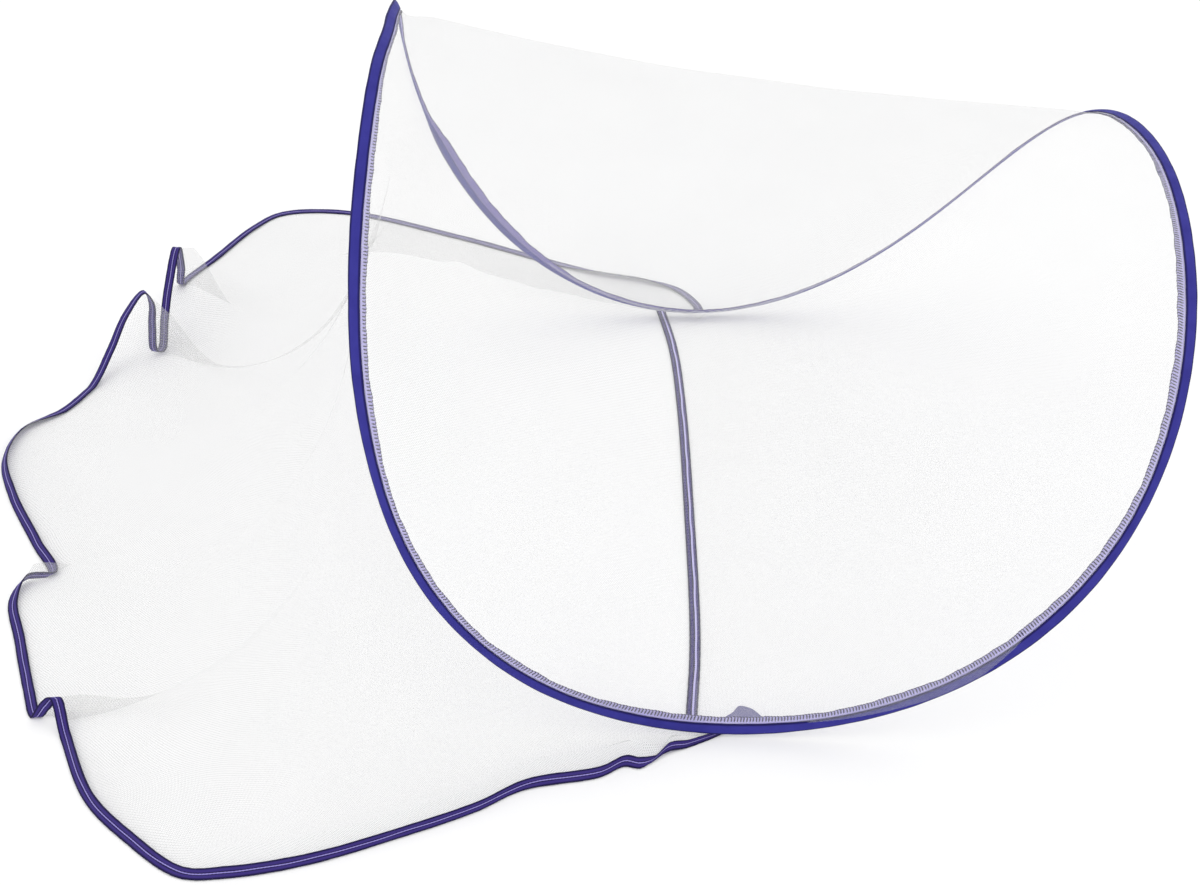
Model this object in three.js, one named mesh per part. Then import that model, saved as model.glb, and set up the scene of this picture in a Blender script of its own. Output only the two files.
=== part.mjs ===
// Pop-up mosquito net for the head and upper body of a sleeper, standing as it springs open.
// One sprung hoop, in a cloth casing, is bent into a saddle: two ears up, two low points down.
// An oval roof net spans the hoop, a wide skirt net falls from its left half to a bound hem,
// and an end net closes its right half down to a straight bound hem between the low points.
// Millimetres. +X is to the right, +Y is away from the viewer, +Z is up, and the floor is Z = 0.
import * as THREE from "three";
import { mergeVertices } from "three/addons/utils/BufferGeometryUtils.js";

// Cloth and tape sizes.
const GAP = 0.3;
const NET_THICK = 1.0;
const CASING = { width: 9.6, thick: 5.6, sides: 8 };
const SEAM = { width: 7.0, thick: 1.0, drop: 2.1 };
const TAPE = { width: 9.6, thick: 1.4 };
const MERGE_DISTANCE = 1e-3; // corners of a mesh that are closer than this are one corner

// The hoop's curve is a sum of waves counted round the hoop from its right ear. A row gives how
// many waves go once round, and how far that wave moves the hoop to the right, back and up.
const HOOP_WAVES = [
  { waves: 0, right: 69, back: 0, up: 235 },
  { waves: 1, right: 349, back: 363, up: -115 },
  { waves: 2, right: 95, back: 51, up: 185 },
  { waves: 3, right: -25, back: 33, up: 52 },
  { waves: 4, right: -12, back: 29, up: 0 },
];
const HOOP_FORWARD = 12; // the whole hoop stands this far towards the viewer
const LOW_TURN = THREE.MathUtils.degToRad(73); // from the right ear to either low point
const HOOP_STATIONS = 96;
const TANGENT_STEP = 0.25; // the hoop's direction is taken over this many stations to each side

// The roof net. Where it is widest it sags by this much, and more towards its higher left end.
// Its slope is taken over slopeStep to each side, and held over the share steady at both ends.
const ROOF = { sag: 17, skew: 0.35, widest: 700, across: 8, slopeStep: 0.01, steady: 0.05 };

// The end net's hem, nearly straight from one low point to the other, by the middle of its tape.
const END_HEM = [
  { right: 74, back: -334 },
  { right: 82, back: -225 },
  { right: 84, back: -20 },
  { right: 83, back: 140 },
  { right: 78, back: 250 },
  { right: 70, back: 314 },
];

// The end net rises from that hem. Over the tucked end of the skirt's tape it is lifted.
const END_NET = { down: 9, lie: 0.5, drop: 0.55, pull: 0.12, lift: 2.4, liftShare: 0.14 };

// The skirt's hem, from the front low point round the left to the back low point. Each row is
// one section or fold: its place on the hoop's left half as a share of that half, where the
// middle of the tape is, the heading that the tape's outer edge faces, in degrees from +X, and
// how far the tape's inner edge is turned up off the floor, in degrees.
const HEM = [
  { rim: 0.0, right: 97, back: -337, up: 0, face: 240, lean: 0 },
  { rim: 0.015, right: 71, back: -349, up: 0, face: 252, lean: 5 },
  { rim: 0.035, right: 40, back: -370, up: 0, face: 252, lean: 25 },
  { rim: 0.055, right: 5, back: -383, up: 0, face: 258, lean: 38 },
  { rim: 0.085, right: -59, back: -398, up: 0, face: 252, lean: 38 },
  { rim: 0.11, right: -96, back: -422, up: 0, face: 247, lean: 38 },
  { rim: 0.14, right: -153, back: -449, up: 0, face: 246, lean: 38 },
  { rim: 0.175, right: -220, back: -476, up: 0, face: 254, lean: 38 },
  { rim: 0.205, right: -280, back: -489, up: 0, face: 262, lean: 38 },
  { rim: 0.22, right: -314, back: -488, up: 0, face: 243, lean: 20 },
  { rim: 0.24, right: -361, back: -452, up: 0, face: 226, lean: 20 },
  { rim: 0.26, right: -400, back: -411, up: 0, face: 208, lean: 30 },
  { rim: 0.285, right: -436, back: -342, up: 0, face: 200, lean: 35 },
  { rim: 0.303, right: -450, back: -319, up: 13, face: 200, lean: 10 },
  { rim: 0.312, right: -463, back: -311, up: 0, face: 200, lean: 10 },
  { rim: 0.325, right: -475, back: -288, up: 0, face: 196, lean: 35 },
  { rim: 0.35, right: -500, back: -223, up: 0, face: 196, lean: 35 },
  { rim: 0.372, right: -522, back: -168, up: 0, face: 182, lean: 45 },
  { rim: 0.386, right: -514, back: -143, up: 2, face: 168, lean: 60 },
  { rim: 0.397, right: -500, back: -122, up: 1, face: 205, lean: 20 },
  { rim: 0.412, right: -519, back: -88, up: 0, face: 208, lean: 25 },
  { rim: 0.44, right: -560, back: -14, up: 0, face: 205, lean: 35 },
  { rim: 0.465, right: -582, back: 45, up: 0, face: 185, lean: 50 },
  { rim: 0.485, right: -577, back: 97, up: 0, face: 150, lean: 40 },
  { rim: 0.505, right: -545, back: 132, up: 0, face: 150, lean: 30 },
  { rim: 0.525, right: -526, back: 173, up: 0, face: 170, lean: 20 },
  { rim: 0.538, right: -511, back: 210, up: 22, face: 180, lean: 10 },
  { rim: 0.548, right: -495, back: 234, up: 54, face: 182, lean: 0 },
  { rim: 0.555, right: -477, back: 244, up: 72, face: 184, lean: 0 },
  { rim: 0.562, right: -472, back: 245, up: 38, face: 186, lean: 0 },
  { rim: 0.57, right: -474, back: 252, up: 2, face: 186, lean: 0 },
  { rim: 0.58, right: -466, back: 268, up: 28, face: 184, lean: 0 },
  { rim: 0.59, right: -463, back: 294, up: 48, face: 182, lean: 0 },
  { rim: 0.603, right: -457, back: 330, up: 78, face: 178, lean: 0 },
  { rim: 0.616, right: -462, back: 358, up: 38, face: 170, lean: 0 },
  { rim: 0.63, right: -470, back: 386, up: 0, face: 155, lean: 5 },
  { rim: 0.655, right: -442, back: 447, up: 0, face: 150, lean: 5 },
  { rim: 0.685, right: -408, back: 520, up: 0, face: 135, lean: 5 },
  { rim: 0.705, right: -380, back: 553, up: 0, face: 105, lean: 0 },
  { rim: 0.735, right: -307, back: 557, up: 0, face: 85, lean: 0 },
  { rim: 0.79, right: -164, back: 495, up: 0, face: 64, lean: 50 },
  { rim: 0.86, right: -46, back: 431, up: 0, face: 62, lean: 50 },
  { rim: 0.9, right: 2, back: 408, up: 0, face: 66, lean: 30 },
  { rim: 0.94, right: 48, back: 394, up: 0, face: 75, lean: 20 },
  { rim: 0.965, right: 86, back: 374, up: 0, face: 40, lean: 5 },
  { rim: 0.985, right: 106, back: 342, up: 0, face: 15, lean: 0 },
  { rim: 1.0, right: 109, back: 322, up: 0, face: 5, lean: 0 },
];
const HEM_STEPS = 2; // columns of the skirt between two rows
const HEM_TUCK = { rim: 0, right: 121, back: -313, up: 0, face: 245, lean: 0 }; // its tucked-in end

// The skirt between hoop and hem, and its soft ridges. A row of ridges runs from the hoop
// towards the hem: where it starts and ends round the left half, its height and its breadth.
const SKIRT = {
  down: 9,
  fall: 0.76,
  spread: 0.03,
  run: 0.45,
  sag: 5,
  neck: 14,
  neckShare: 1 / 3,
  hemGap: 0.6,
  ridgeFade: 1.5,
  turn: 2,
  first: 0.03,
  last: 0.975,
};
const SKIRT_RIDGES = [
  { start: 0.16, end: 0.22, height: 7, breadth: 0.012 },
  { start: 0.24, end: 0.27, height: 9, breadth: 0.012 },
  { start: 0.3, end: 0.31, height: 8, breadth: 0.01 },
  { start: 0.34, end: 0.36, height: 10, breadth: 0.014 },
  { start: 0.41, end: 0.4, height: 11, breadth: 0.012 },
  { start: 0.46, end: 0.45, height: 8, breadth: 0.014 },
  { start: 0.54, end: 0.55, height: 12, breadth: 0.012 },
  { start: 0.61, end: 0.6, height: 12, breadth: 0.012 },
  { start: 0.7, end: 0.68, height: 8, breadth: 0.014 },
  { start: 0.8, end: 0.79, height: 7, breadth: 0.014 },
];

// Materials.
const CASING_BLUE = new THREE.MeshStandardMaterial({ color: 0x45489f, roughness: 0.75, metalness: 0 });
const SEAM_LAVENDER = new THREE.MeshStandardMaterial({ color: 0xaaa8cc, roughness: 0.85, metalness: 0 });
const HEM_NAVY = new THREE.MeshStandardMaterial({ color: 0x352d73, roughness: 0.7, metalness: 0 });
const NETTING = new THREE.MeshStandardMaterial({
  color: 0xf2f3f5,
  roughness: 0.9,
  metalness: 0,
  transparent: true,
  opacity: 0.35,
  side: THREE.DoubleSide,
});

const UP = new THREE.Vector3(0, 0, 1);

// One half of the hoop's middle line, from the front low point to the back one.
class HoopHalf extends THREE.Curve {
  constructor(firstTurn, lastTurn) {
    super();
    this.firstTurn = firstTurn;
    this.lastTurn = lastTurn;
  }

  getPoint(share) {
    const turn = THREE.MathUtils.lerp(this.firstTurn, this.lastTurn, share);
    const point = new THREE.Vector3(0, -HOOP_FORWARD, 0);
    for (const { waves, right, back, up } of HOOP_WAVES) {
      point.x += right * Math.cos(waves * turn);
      point.y += back * Math.sin(waves * turn);
      point.z += up * Math.cos(waves * turn);
    }
    return point;
  }
}

const END_HEM_PATH = new THREE.CatmullRomCurve3(
  END_HEM.map(({ right, back }) => new THREE.Vector3(right, back, 0)),
  false,
  "centripetal",
);
const RIGHT_HALF = new HoopHalf(-LOW_TURN, LOW_TURN);
const LEFT_HALF = new HoopHalf(2 * Math.PI - LOW_TURN, LOW_TURN);

// A place round the hoop runs from 0 at the front low point, up over the right ear to 0.5 at the
// back low point, and over the left ear back to 1.
const onRight = (share) => share / 2;
const onLeft = (share) => 1 - share / 2;

function hoopPoint(place) {
  const round = THREE.MathUtils.euclideanModulo(place, 1);
  return round < 0.5 ? RIGHT_HALF.getPointAt(2 * round) : LEFT_HALF.getPointAt(2 - 2 * round);
}

// How far a chord of the roof sags, from its length.
const roofSag = (chord) => ROOF.sag * (chord / ROOF.widest) ** 2;

// The roof's outward normal at a place on the hoop. The roof is ruled by sagging chords across
// the hoop, which shrink to nothing at the low points, so it is held constant close to them.
function roofNormal(place) {
  const nearest = place < 0.5 ? 2 * place : 2 - 2 * place;
  const share = THREE.MathUtils.clamp(nearest, ROOF.steady, 1 - ROOF.steady);
  const middle = (s) => RIGHT_HALF.getPointAt(s).add(LEFT_HALF.getPointAt(s)).multiplyScalar(0.5);
  const slope = middle(share + ROOF.slopeStep).sub(middle(share - ROOF.slopeStep));
  const chord = RIGHT_HALF.getPointAt(share).sub(LEFT_HALF.getPointAt(share));
  const steepness = place < 0.5 ? 1 - ROOF.skew : -1 - ROOF.skew;
  chord.addScaledVector(UP, 4 * roofSag(chord.length()) * steepness);
  return chord.cross(slope).normalize();
}

// Stations round the hoop. At each one, along is the way round, inward lies in the roof and
// points in from the hoop, and outward is the roof's normal.
const STATIONS = Array.from({ length: HOOP_STATIONS }, (_, i) => {
  const place = i / HOOP_STATIONS;
  const step = TANGENT_STEP / HOOP_STATIONS;
  const along = hoopPoint(place + step).sub(hoopPoint(place - step)).normalize();
  const inward = roofNormal(place).cross(along).normalize();
  const outward = along.clone().cross(inward).normalize();
  return { point: hoopPoint(place), along, inward, outward };
});

// A point beside the hoop, on the straight facets between two stations, so that pieces that
// share the hoop's edge keep their gap.
function besideHoop(place, inward, outward) {
  const at = THREE.MathUtils.euclideanModulo(place, 1) * HOOP_STATIONS;
  const first = Math.floor(at) % HOOP_STATIONS;
  const offset = (station) =>
    station.point.clone().addScaledVector(station.inward, inward).addScaledVector(station.outward, outward);
  return offset(STATIONS[first]).lerp(offset(STATIONS[(first + 1) % HOOP_STATIONS]), at - Math.floor(at));
}

// A closed geometry from vertices and faces, with shared vertices merged and flat faces dropped.
function closedGeometry(vertices, faces) {
  const loose = new THREE.BufferGeometry();
  loose.setAttribute("position", new THREE.Float32BufferAttribute(vertices.flatMap((v) => v.toArray()), 3));
  loose.setIndex(faces.flat());
  const merged = mergeVertices(loose, MERGE_DISTANCE);
  const index = merged.index.array;
  const kept = [];
  for (let i = 0; i < index.length; i += 3) {
    const [a, b, c] = index.slice(i, i + 3);
    if (a !== b && b !== c && c !== a) kept.push(a, b, c);
  }
  merged.setIndex(kept);
  merged.computeVertexNormals();
  return merged;
}

// A ring of equal sections round the hoop, each given as [inward, outward] offsets.
function ringGeometry(section) {
  const vertices = [];
  const faces = [];
  const sides = section.length;
  STATIONS.forEach((station, i) => {
    for (const [inward, outward] of section) {
      const corner = station.point.clone();
      vertices.push(corner.addScaledVector(station.inward, inward).addScaledVector(station.outward, outward));
    }
    const next = (i + 1) % STATIONS.length;
    for (let k = 0; k < sides; k++) {
      const a = i * sides + k;
      const b = i * sides + ((k + 1) % sides);
      const c = next * sides + ((k + 1) % sides);
      const d = next * sides + k;
      faces.push([a, b, c], [a, c, d]);
    }
  });
  return closedGeometry(vertices, faces);
}

// A sheet of even thickness on a grid of points. Its top is on the left of the rows' direction.
function sheetGeometry(rows, thick) {
  const last = rows.length - 1;
  const end = rows[0].length - 1;
  const normalAt = (i, j) => {
    const down = rows[Math.min(i + 1, last)][j].clone().sub(rows[Math.max(i - 1, 0)][j]);
    const across = rows[i][Math.min(j + 1, end)].clone().sub(rows[i][Math.max(j - 1, 0)]);
    return down.cross(across);
  };
  const sameRow = (row) => row.every((p) => p.distanceTo(row[0]) < MERGE_DISTANCE);
  const vertices = [];
  for (const side of [0.5, -0.5]) {
    rows.forEach((row, i) => {
      row.forEach((point, j) => {
        const level = sameRow(row) ? Math.round(end / 2) : j;
        const from = sameRow(row) ? THREE.MathUtils.clamp(i, 1, last - 1) : i;
        vertices.push(point.clone().addScaledVector(normalAt(from, level).normalize(), side * thick));
      });
    });
  }
  const id = (side, i, j) => (side * rows.length + i) * (end + 1) + j;
  const faces = [];
  for (let i = 0; i < last; i++) {
    for (let j = 0; j < end; j++) {
      const [a, b, c, d] = [id(0, i, j), id(0, i + 1, j), id(0, i + 1, j + 1), id(0, i, j + 1)];
      faces.push([a, b, c], [a, c, d]);
      const [e, f, g, h] = [id(1, i, j), id(1, i + 1, j), id(1, i + 1, j + 1), id(1, i, j + 1)];
      faces.push([e, g, f], [e, h, g]);
    }
  }
  const wall = (i, j, k, l) => {
    const [a, b, c, d] = [id(0, i, j), id(0, k, l), id(1, k, l), id(1, i, j)];
    faces.push([a, b, c], [a, c, d]);
  };
  for (let i = 0; i < last; i++) {
    wall(i + 1, 0, i, 0);
    wall(i, end, i + 1, end);
  }
  for (let j = 0; j < end; j++) {
    wall(0, j, 0, j + 1);
    wall(last, j + 1, last, j);
  }
  return closedGeometry(vertices, faces);
}

// The cloth casing, a flattened tube round the whole hoop.
function casingGeometry() {
  const section = Array.from({ length: CASING.sides }, (_, k) => {
    const angle = (2 * Math.PI * (k + 0.5)) / CASING.sides;
    return [(CASING.width / 2) * Math.cos(angle), (CASING.thick / 2) * Math.sin(angle)];
  });
  return ringGeometry(section);
}

// The overlocked seam allowance, a flat strip just inside the casing, under the roof.
function seamGeometry() {
  const near = CASING.width / 2 + GAP;
  const far = near + SEAM.width;
  const low = -SEAM.drop;
  const high = SEAM.thick - SEAM.drop;
  return ringGeometry([
    [far, low],
    [far, high],
    [near, high],
    [near, low],
  ]);
}

// The roof net: chords from the right half of the hoop to the left half, each sagging a little.
function roofGeometry() {
  const edge = CASING.width / 2 + GAP;
  const count = HOOP_STATIONS / 2;
  const rows = Array.from({ length: count + 1 }, (_, i) => {
    const right = besideHoop(onRight(i / count), edge, 0);
    const left = besideHoop(onLeft(i / count), edge, 0);
    const sag = roofSag(right.distanceTo(left));
    return Array.from({ length: ROOF.across + 1 }, (__, j) => {
      const share = j / ROOF.across;
      const drop = 4 * share * (1 - share) * (1 + ROOF.skew * (2 * share - 1));
      return right.clone().lerp(left, share).addScaledVector(UP, -sag * drop);
    });
  });
  return sheetGeometry(rows, NET_THICK);
}

// The end net: it hangs from the right half of the hoop, then lies on the floor to its hem.
function endNetGeometry() {
  const under = -(CASING.thick / 2 + NET_THICK / 2 + GAP);
  const count = HOOP_STATIONS / 2;
  const rows = Array.from({ length: count + 1 }, (_, i) => {
    const share = i / count;
    const top = besideHoop(onRight(share), 0, under);
    const floor = NET_THICK / 2 + GAP + END_NET.lift * Math.max(0, 1 - share / END_NET.liftShare);
    const foot = END_HEM_PATH.getPoint(share);
    foot.x += TAPE.width / 2 + GAP;
    foot.z = floor;
    const reach = top.x - foot.x;
    const sweep = top.y - foot.y;
    const pull = new THREE.Vector3(
      top.x - END_NET.pull * reach,
      top.y - END_NET.pull * sweep,
      floor + (1 - END_NET.drop) * (top.z - floor),
    );
    const lie = new THREE.Vector3(foot.x + END_NET.lie * reach, foot.y + END_NET.lie * sweep, floor);
    return new THREE.CubicBezierCurve3(foot, lie, pull, top).getPoints(END_NET.down);
  });
  return sheetGeometry(rows, NET_THICK);
}

// The hem tape of the end net, flat on the floor, with the end net's own steps.
function endHemGeometry() {
  const count = HOOP_STATIONS / 2;
  const rows = Array.from({ length: count + 1 }, (_, i) => {
    const middle = END_HEM_PATH.getPoint(i / count);
    return [0.5, -0.5].map((side) =>
      new THREE.Vector3(middle.x + side * TAPE.width, middle.y, TAPE.thick / 2),
    );
  });
  return sheetGeometry(rows, TAPE.thick);
}

// The way that the tape's width runs, from its inner to its outer edge, at one row of the hem.
function tapeWidthway({ face, lean }) {
  const heading = THREE.MathUtils.degToRad(face);
  const tilt = THREE.MathUtils.degToRad(lean);
  const level = Math.cos(tilt);
  return new THREE.Vector3(level * Math.cos(heading), level * Math.sin(heading), -Math.sin(tilt));
}

// The hem's columns, smoothed between the rows of a table. The tape's lower edge meets the floor
// wherever a row gives no height.
function hemColumns(table, steps) {
  const widthways = table.map(tapeWidthway);
  const path = new THREE.CatmullRomCurve3(
    table.map(({ right, back, up }) => new THREE.Vector3(right, back, up)),
    false,
    "centripetal",
  );
  const count = (table.length - 1) * steps;
  return Array.from({ length: count + 1 }, (_, i) => {
    const first = Math.min(Math.floor(i / steps), table.length - 2);
    const part = i / steps - first;
    const outward = widthways[first].clone().lerp(widthways[first + 1], part).normalize();
    const rest = (TAPE.width / 2) * Math.abs(outward.z) + (TAPE.thick / 2) * Math.hypot(outward.x, outward.y);
    const middle = path.getPoint(i / count);
    middle.z = Math.max(middle.z, 0) + rest;
    return { rim: THREE.MathUtils.lerp(table[first].rim, table[first + 1].rim, part), middle, outward };
  });
}

// The skirt's hem tape, a ribbon from inside the hoop, under it and round the whole skirt.
function skirtHemGeometry() {
  const rows = hemColumns([HEM_TUCK, ...HEM], HEM_STEPS).map(({ middle, outward }) =>
    [-0.5, 0.5].map((side) => middle.clone().addScaledVector(outward, side * TAPE.width)),
  );
  return sheetGeometry(rows, TAPE.thick);
}

// How high the soft ridges lift the skirt at a place round the hoop and a share of its fall.
function ridgeHeight(rim, fall) {
  const fade = Math.sin(Math.PI * THREE.MathUtils.clamp(fall, 0, 1)) ** SKIRT.ridgeFade;
  return SKIRT_RIDGES.reduce((sum, { start, end, height, breadth }) => {
    const offset = (rim - THREE.MathUtils.lerp(start, end, fall)) / breadth;
    return sum + height * fade * Math.exp(-offset * offset);
  }, 0);
}

// The skirt net: it leaves the underside of the casing, falls, and runs out to the hem, which it
// meets in the plane of the tape.
function skirtGeometry() {
  const shown = hemColumns(HEM, HEM_STEPS).filter(({ rim }) => rim > SKIRT.first && rim < SKIRT.last);
  const clear = NET_THICK + GAP;
  const rows = shown.map(({ rim, middle, outward }) => {
    const turned = (Math.PI / 2) * Math.abs(2 * rim - 1) ** SKIRT.turn;
    const top = besideHoop(
      onLeft(rim),
      -(CASING.width / 2 + clear) * Math.sin(turned),
      -(CASING.thick / 2 + clear) * Math.cos(turned),
    );
    const foot = middle.clone().addScaledVector(outward, -(TAPE.width / 2 + SKIRT.hemGap));
    const reach = Math.hypot(foot.x - top.x, foot.y - top.y);
    const neck = foot.clone().addScaledVector(outward, -Math.min(SKIRT.neck, reach * SKIRT.neckShare));
    const out = new THREE.Vector3(neck.x - top.x, neck.y - top.y, 0);
    const low = Math.min(neck.z, top.z);
    const fall = top.clone().addScaledVector(out, SKIRT.spread);
    fall.z = low + (1 - SKIRT.fall) * (top.z - low);
    const run = neck.clone().addScaledVector(out, -SKIRT.run);
    run.z = Math.max(neck.z - SKIRT.sag, low);
    const line = new THREE.CubicBezierCurve3(top, fall, run, neck).getPoints(SKIRT.down);
    line.forEach((point, j) => point.addScaledVector(UP, ridgeHeight(rim, j / SKIRT.down)));
    return [...line, foot];
  });
  return sheetGeometry(rows, NET_THICK);
}

function piece(name, geometry, material) {
  const mesh = new THREE.Mesh(geometry, material);
  mesh.name = name;
  return mesh;
}

const net = new THREE.Group();
net.add(
  piece("hoop_casing", casingGeometry(), CASING_BLUE),
  piece("hoop_seam", seamGeometry(), SEAM_LAVENDER),
  piece("roof_net", roofGeometry(), NETTING),
  piece("end_net", endNetGeometry(), NETTING),
  piece("end_hem_tape", endHemGeometry(), HEM_NAVY),
  piece("skirt_net", skirtGeometry(), NETTING),
  piece("skirt_hem_tape", skirtHemGeometry(), HEM_NAVY),
);

// The origin is on the floor under the middle of the object's box.
const box = new THREE.Box3().setFromObject(net, true);
const middle = box.getCenter(new THREE.Vector3());
net.position.set(-middle.x, -middle.y, -box.min.z);

const popUpNet = new THREE.Group();
popUpNet.add(net);

export default popUpNet;
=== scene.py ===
# %% [markdown]
# # A pop-up mosquito net
#
# One sprung steel hoop, hidden in a blue cloth casing, is bent to a saddle and holds up white
# netting: an oval roof, a wide skirt with a bound hem, and an end net with a hem of its own.
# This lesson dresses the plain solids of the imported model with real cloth. Every length is in
# metres, or in millimetres times MM, and the floor is at height 0.

# %% Load the fixed frame
import math

import bpy
import numpy as np
from mathutils import Matrix, Vector


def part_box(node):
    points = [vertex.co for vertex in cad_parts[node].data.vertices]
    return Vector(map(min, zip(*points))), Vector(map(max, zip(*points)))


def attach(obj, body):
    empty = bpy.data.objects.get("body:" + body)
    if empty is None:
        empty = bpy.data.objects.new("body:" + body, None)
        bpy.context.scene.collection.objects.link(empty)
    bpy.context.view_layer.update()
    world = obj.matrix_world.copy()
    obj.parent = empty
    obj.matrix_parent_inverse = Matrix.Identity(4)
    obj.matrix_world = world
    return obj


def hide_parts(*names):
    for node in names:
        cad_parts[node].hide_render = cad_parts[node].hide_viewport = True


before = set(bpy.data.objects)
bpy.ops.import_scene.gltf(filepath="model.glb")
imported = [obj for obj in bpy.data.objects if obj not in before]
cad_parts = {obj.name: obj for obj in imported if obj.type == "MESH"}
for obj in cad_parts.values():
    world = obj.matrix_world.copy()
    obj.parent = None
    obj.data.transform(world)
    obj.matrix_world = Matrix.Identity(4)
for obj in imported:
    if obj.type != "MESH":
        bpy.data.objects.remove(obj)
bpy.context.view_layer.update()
MM = 0.001

# %% [markdown]
# ## The hoop's line
#
# A springy ring that is folded into a saddle rises and falls in smooth waves. A sum of a few
# waves, counted round the ring, draws that line better than a list of points, because it stays
# smooth at any fineness. Each row says how many waves go once round, and how far that wave
# moves the hoop right, back and up.

# %% The hoop's waves
HOOP_WAVES = [
    {"waves": 0, "right": 69, "back": 0, "up": 235},
    {"waves": 1, "right": 349, "back": 363, "up": -115},
    {"waves": 2, "right": 95, "back": 51, "up": 185},
    {"waves": 3, "right": -25, "back": 33, "up": 52},
    {"waves": 4, "right": -12, "back": 29, "up": 0},
]
HOOP_FORWARD = 12 * MM
LOW_TURN = math.radians(73)  # from the right ear round to either low point
UP = np.array([0.0, 0.0, 1.0])


def unit(vectors):
    """The same directions with length 1."""
    return vectors / np.linalg.norm(vectors, axis=-1, keepdims=True)


def hoop_curve(turn):
    """Points of the hoop's middle line at angles counted from the right ear."""
    points = np.zeros(np.shape(turn) + (3,))
    points[..., 1] = -HOOP_FORWARD
    for row in HOOP_WAVES:
        points[..., 0] += row["right"] * MM * np.cos(row["waves"] * turn)
        points[..., 1] += row["back"] * MM * np.sin(row["waves"] * turn)
        points[..., 2] += row["up"] * MM * np.cos(row["waves"] * turn)
    return points


def evenly(first, last, samples=4000):
    """One half of the hoop: share of its length, the angle there, and the whole length."""
    turn = np.linspace(first, last, samples)
    steps = np.linalg.norm(np.diff(hoop_curve(turn), axis=0), axis=1)
    length = np.concatenate([[0.0], np.cumsum(steps)])
    return length / length[-1], turn, length[-1]


RIGHT_HALF = evenly(-LOW_TURN, LOW_TURN)
LEFT_HALF = evenly(2 * math.pi - LOW_TURN, LOW_TURN)
HOOP_LENGTH = RIGHT_HALF[2] + LEFT_HALF[2]
print("the hoop is", round(HOOP_LENGTH, 3), "m round")

# %% [markdown]
# A place round the hoop is a number from 0 at the front low point, up over the right ear to 0.5
# at the back low point, and over the left ear back to 1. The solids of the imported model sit
# with the middle of their box over the origin, so the line is moved by the distance between the
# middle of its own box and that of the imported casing.


# %% Places round the hoop
def half_point(half, share):
    """Points at a share of one half's length."""
    return hoop_curve(np.interp(share, half[0], half[1]))


def on_right(share):
    """Places at a share of the right half, counted from the front low point."""
    return np.asarray(share) / 2


def on_left(share):
    """Places at a share of the left half, counted from the front low point."""
    return 1 - np.asarray(share) / 2


low, high = (np.array(corner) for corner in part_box("hoop_casing"))
ring = hoop_curve(np.linspace(0, 2 * math.pi, 720))
SHIFT = (low + high) / 2 - (ring.min(0) + ring.max(0)) / 2
SHIFT[2] = 0
print("moved by", SHIFT.round(4))


# The left ear's tip is a little lower and blunter than the waves draw it.
EAR_BLUNT = 12 * MM
EAR_PLACE = 0.75
EAR_BREADTH = 0.022


def hoop_point(place):
    """Points of the hoop's middle line, in the frame."""
    place = np.mod(place, 1.0)
    right = half_point(RIGHT_HALF, 2 * place)
    left = half_point(LEFT_HALF, 2 - 2 * place)
    points = np.where((place < 0.5)[..., None], right, left) + SHIFT
    lower = EAR_BLUNT * np.exp(-(((place - EAR_PLACE) / EAR_BREADTH) ** 2))
    return points - UP * lower[..., None]


ROOF_SAG = 17 * MM
ROOF_SKEW = 0.35  # how much more the roof sags towards its higher left end
ROOF_WIDEST = 700 * MM
ROOF_STEADY = 0.05  # the roof's slope is held over this share at both of its ends
SLOPE_STEP = 0.01  # the share over which the roof's slope is taken to each side
HOOP_STEP = 0.002  # the part of the hoop over which its direction is taken to each side


def roof_sag(chord):
    """How far a chord of the roof sags in its middle."""
    return ROOF_SAG * (chord / ROOF_WIDEST) ** 2


def hoop_frame(place):
    """The way along the hoop, the way in from it, in the roof, and the roof's normal."""
    place = np.mod(place, 1.0)
    share = np.where(place < 0.5, 2 * place, 2 - 2 * place)
    share = np.clip(share, ROOF_STEADY, 1 - ROOF_STEADY)

    def middle(at):
        return (half_point(RIGHT_HALF, at) + half_point(LEFT_HALF, at)) / 2

    slope = middle(share + SLOPE_STEP) - middle(share - SLOPE_STEP)
    chord = half_point(RIGHT_HALF, share) - half_point(LEFT_HALF, share)
    steepness = np.where(place < 0.5, 1 - ROOF_SKEW, -1 - ROOF_SKEW)
    sag = roof_sag(np.linalg.norm(chord, axis=-1))
    chord = chord + UP * (4 * sag * steepness)[..., None]
    along = unit(hoop_point(place + HOOP_STEP) - hoop_point(place - HOOP_STEP))
    inward = unit(np.cross(unit(np.cross(chord, slope)), along))
    return along, inward, np.cross(along, inward)


# %% [markdown]
# The casing is free to roll round its wire, and the pull of the nets turns it one way at the
# front and the other way at the back, where it stands nearly edge-on. A short table says how far
# it is turned, in degrees, and how many millimetres it sits in from the hoop's line.

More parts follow.
